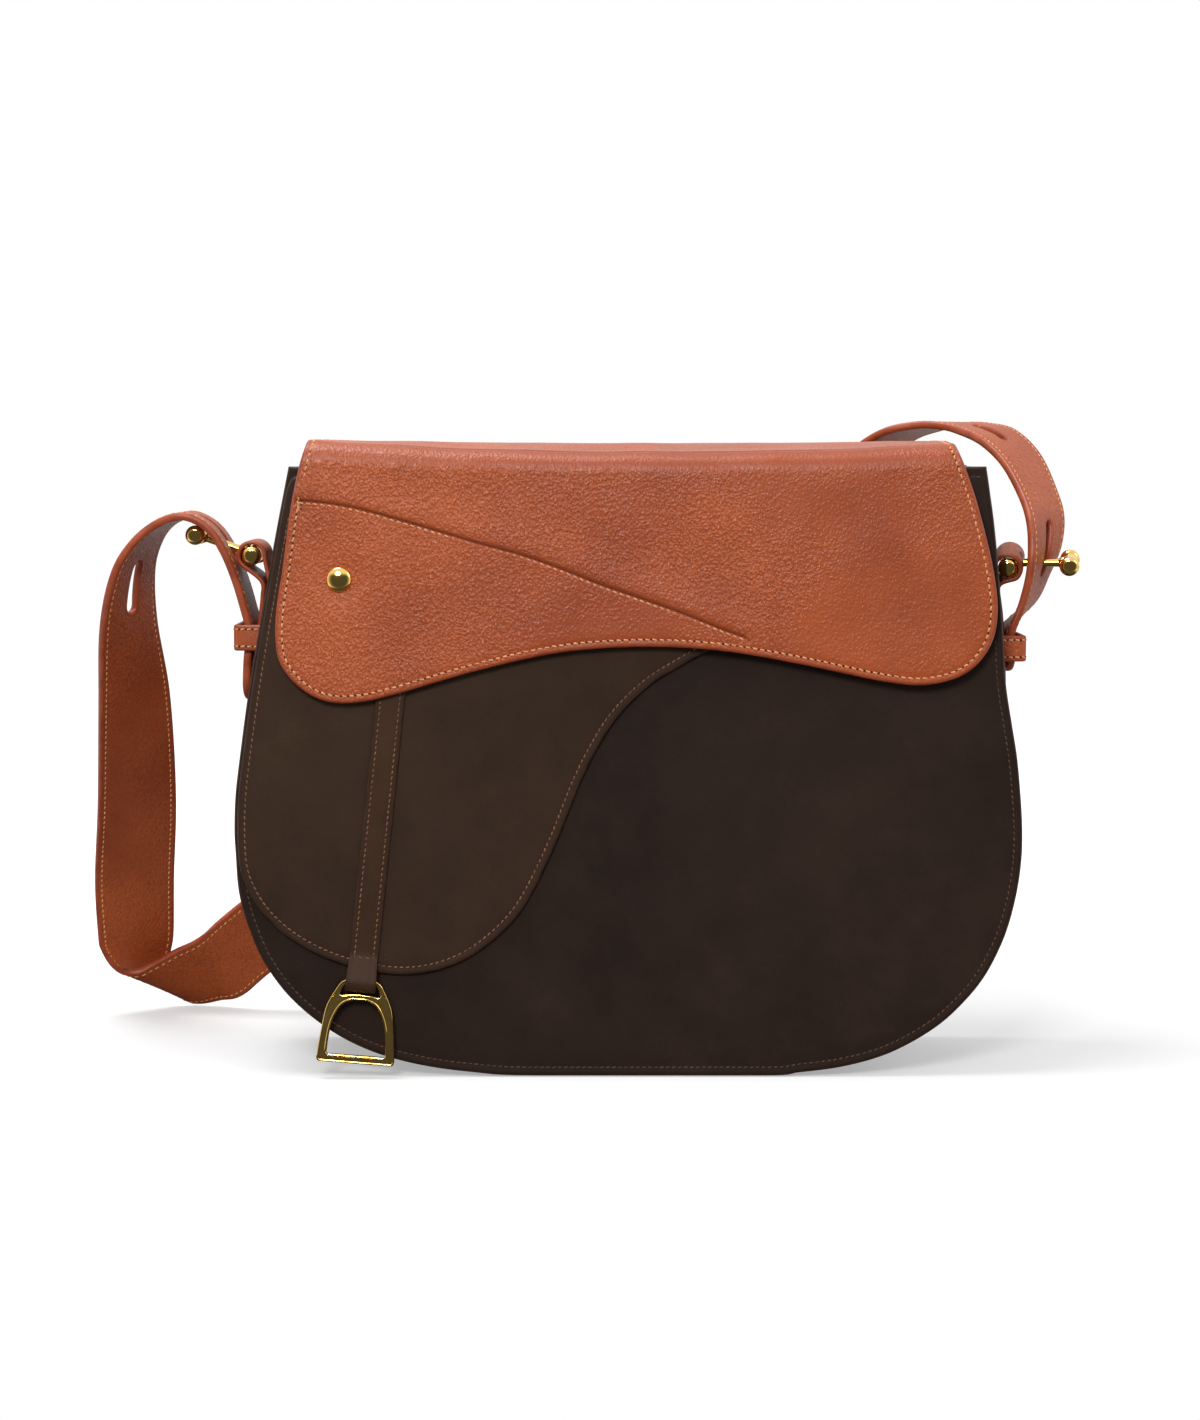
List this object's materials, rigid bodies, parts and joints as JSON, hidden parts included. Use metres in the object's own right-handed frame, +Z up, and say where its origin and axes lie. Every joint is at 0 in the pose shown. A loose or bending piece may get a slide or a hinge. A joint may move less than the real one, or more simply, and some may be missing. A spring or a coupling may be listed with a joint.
{
  "type": "saddle handbag",
  "caption": "U-shaped leather shoulder bag with a fold-over flap, a saddle overlay with a hanging stirrup, and a strap that hooks onto a toggle at each side",
  "frame": {"origin": "on the ground, under the middle of the flat of the base", "axes": "+X to the right seen from the front, +Y to the back, +Z up"},
  "size_m": [0.3992, 0.161, 0.2496],
  "materials": {
    "tan_leather": "satin, grained, with painted edges",
    "body_leather": "smooth, waxed",
    "overlay_leather": "smooth, waxed",
    "lining": "suede",
    "board": "covered fibreboard",
    "gold_metal": "polished, gold plated",
    "clasp_metal": "satin, plated"
  },
  "bodies": {
    "bag": {"front_panel": "body_leather", "back_panel": "body_leather", "gusset": "body_leather", "front_lining": "lining", "back_lining": "lining", "gusset_lining": "lining", "base_board": "board", "slip_pocket": "lining", "skirt": "overlay_leather", "stirrup_strap": "overlay_leather", "flap_back": "tan_leather", "clasp_base": "clasp_metal", "clasp_base_washer": "clasp_metal", "side_tab_left": "tan_leather", "side_tab_right": "tan_leather", "keeper_left": "tan_leather", "keeper_right": "tan_leather", "strap_end_left": "tan_leather", "strap_end_left_lining": "tan_leather", "strap_end_right": "tan_leather", "strap_end_right_lining": "tan_leather"},
    "flap_top": {"flap_top": "tan_leather", "flap_top_lining": "lining"},
    "flap_front": {"flap_front": "tan_leather", "flap_front_lining": "lining", "flap_stud": "gold_metal", "stud_washer": "gold_metal", "clasp_plate": "clasp_metal", "clasp_plate_washer": "clasp_metal"},
    "toggle_left": {"toggle_left": "gold_metal"},
    "toggle_right": {"toggle_right": "gold_metal"},
    "stirrup": {"stirrup": "gold_metal"},
    "strap": {"strap_main": "tan_leather", "strap_main_lining": "tan_leather"}
  },
  "joints": [
    {"name": "flap_lift", "type": "hinge", "parent": "bag", "child": "flap_top", "pos_m": [0, 0.03373, 0.24032], "axis": [-1, 0, 0], "range_deg": [0, 120]},
    {"name": "flap_fold", "type": "hinge", "parent": "flap_top", "child": "flap_front", "pos_m": [0, -0.03821, 0.23947], "axis": [-1, 0, 0], "range_deg": [0, 90]},
    {"name": "toggle_left_pivot", "type": "hinge", "parent": "bag", "child": "toggle_left", "pos_m": [-0.14535, 0, 0.19743], "axis": [0, 1, 0], "range_deg": [-14, 0]},
    {"name": "toggle_right_pivot", "type": "hinge", "parent": "bag", "child": "toggle_right", "pos_m": [0.1485, 0, 0.19442], "axis": [0.1545, 0.9755, 0.1564], "range_deg": [-12, 12]},
    {"name": "stirrup_swing", "type": "hinge", "parent": "bag", "child": "stirrup", "pos_m": [-0.10155, -0.04466, 0.03656], "axis": [-0.9968, 0.0028, 0.0802], "range_deg": [0, 80]},
    {"name": "strap_lift", "type": "hinge", "parent": "bag", "child": "strap", "pos_m": [-0.18105, 0.00105, 0.2095], "axis": [0.943, 0.3286, -0.0526], "range_deg": [0, 35]}
  ]
}
